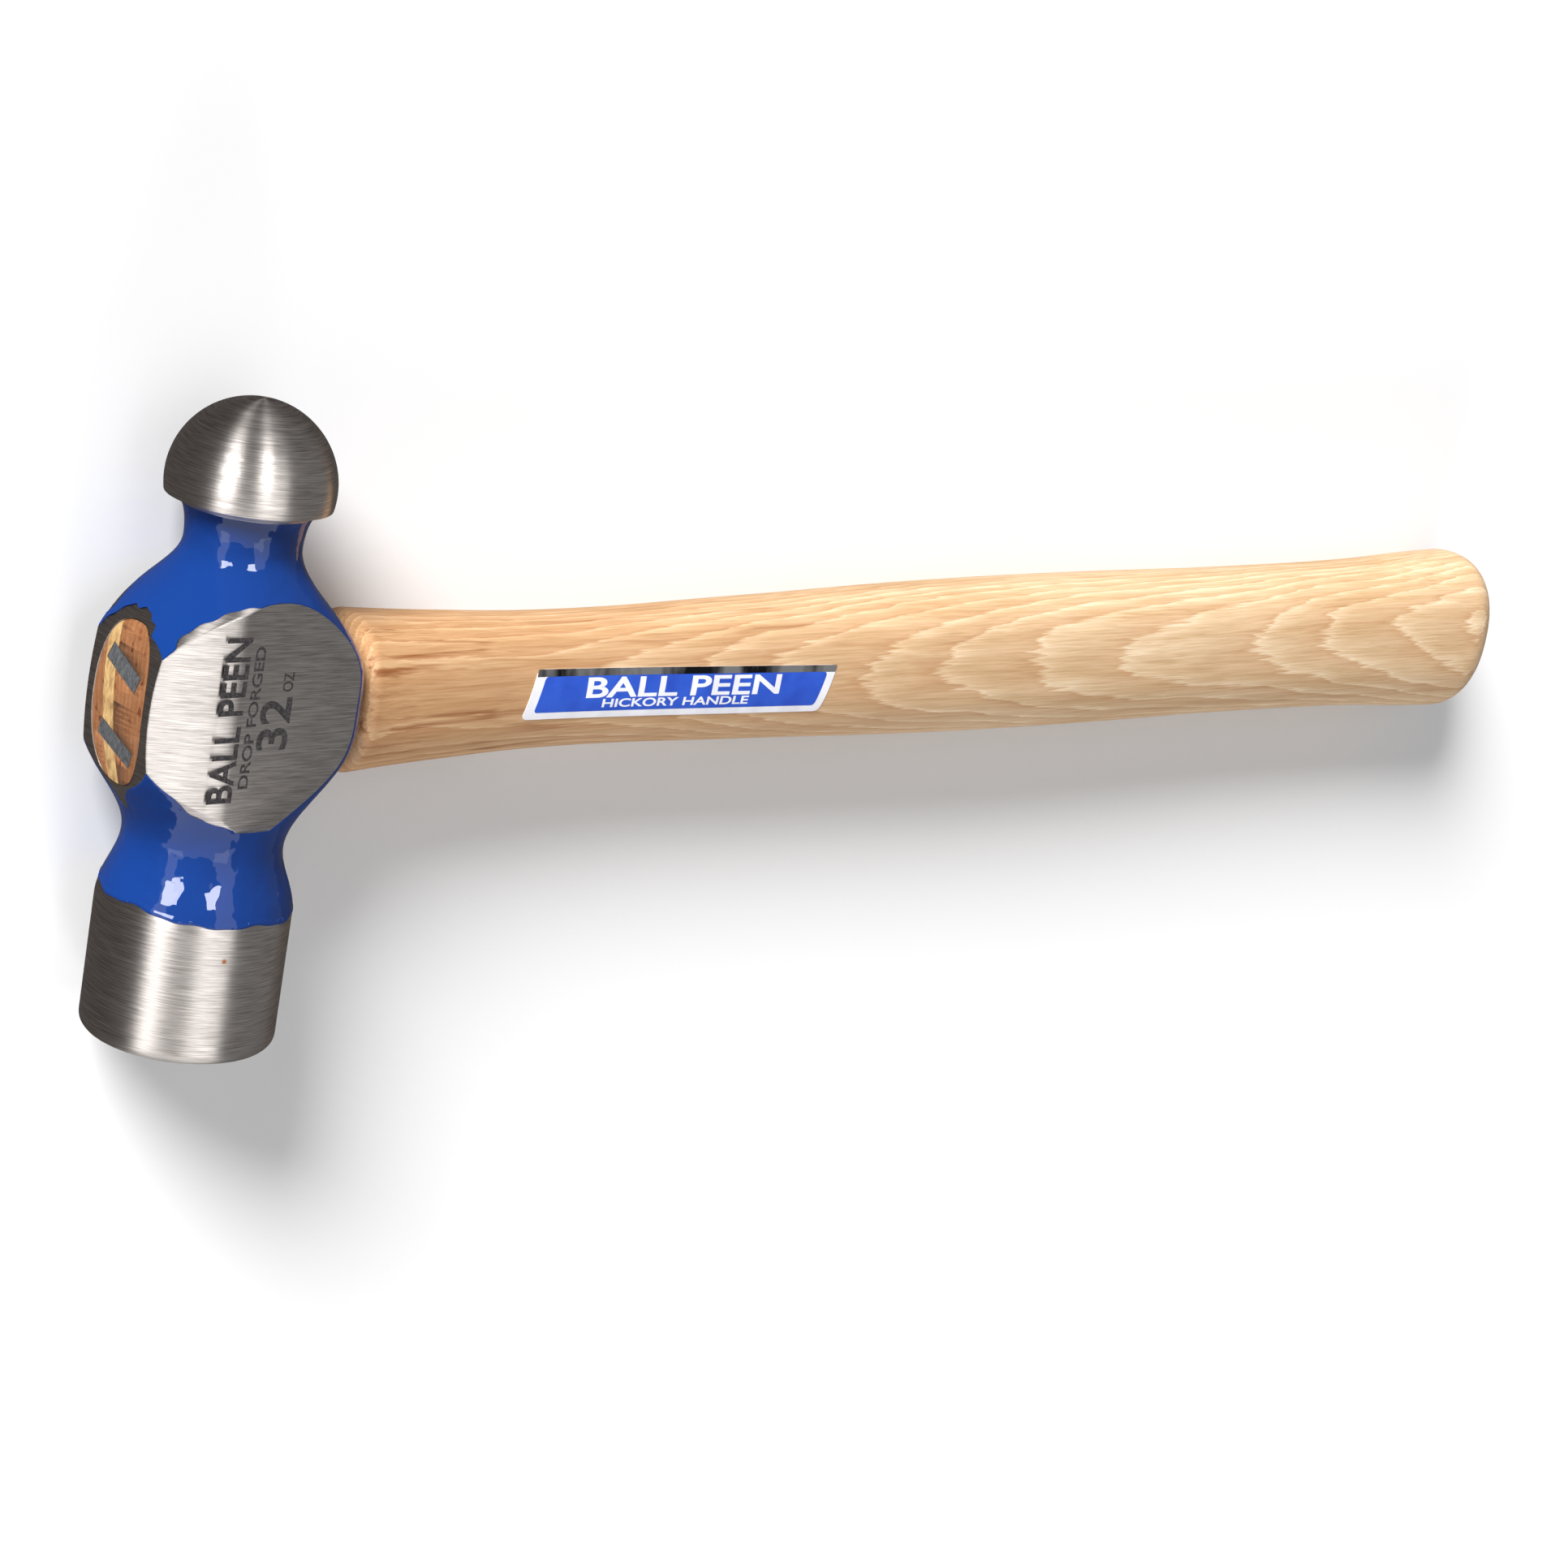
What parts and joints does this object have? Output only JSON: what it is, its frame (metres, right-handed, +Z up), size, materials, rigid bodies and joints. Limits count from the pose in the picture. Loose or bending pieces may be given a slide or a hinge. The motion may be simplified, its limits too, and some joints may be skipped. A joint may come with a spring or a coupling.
{
  "type": "ball-peen hammer",
  "caption": "Ball-peen hammer: steel head with a round flat-faced poll, a ball and ground cheeks, wedged on an oval wooden handle with a sticker.",
  "frame": {"origin": "centre of the base of the bounding box, with the hammer lying on the side of its poll", "axes": "+X along the handle from the head to the butt, +Y along the head from the striking face to the ball, +Z up, out of the cheek that carries the weight mark"},
  "size_m": [0.4048, 0.1298, 0.0388],
  "materials": {
    "forged_steel": "ground bare on the poll, ball, cheeks and eye face, glossy blue enamel between them",
    "hickory": "clear-lacquered hickory with flat-sawn grain",
    "wedge_wood": "plain end grain, ground flush",
    "wedge_steel": "dark mild steel, ground flush",
    "label_film": "printed gloss sticker, blue panel in a white border with a foil strip"
  },
  "bodies": {
    "root": {"hammer_head": "forged_steel", "handle": "hickory", "wooden_wedge": "wedge_wood", "steel_wedge_upper": "wedge_steel", "steel_wedge_lower": "wedge_steel", "label": "label_film"}
  },
  "joints": []
}
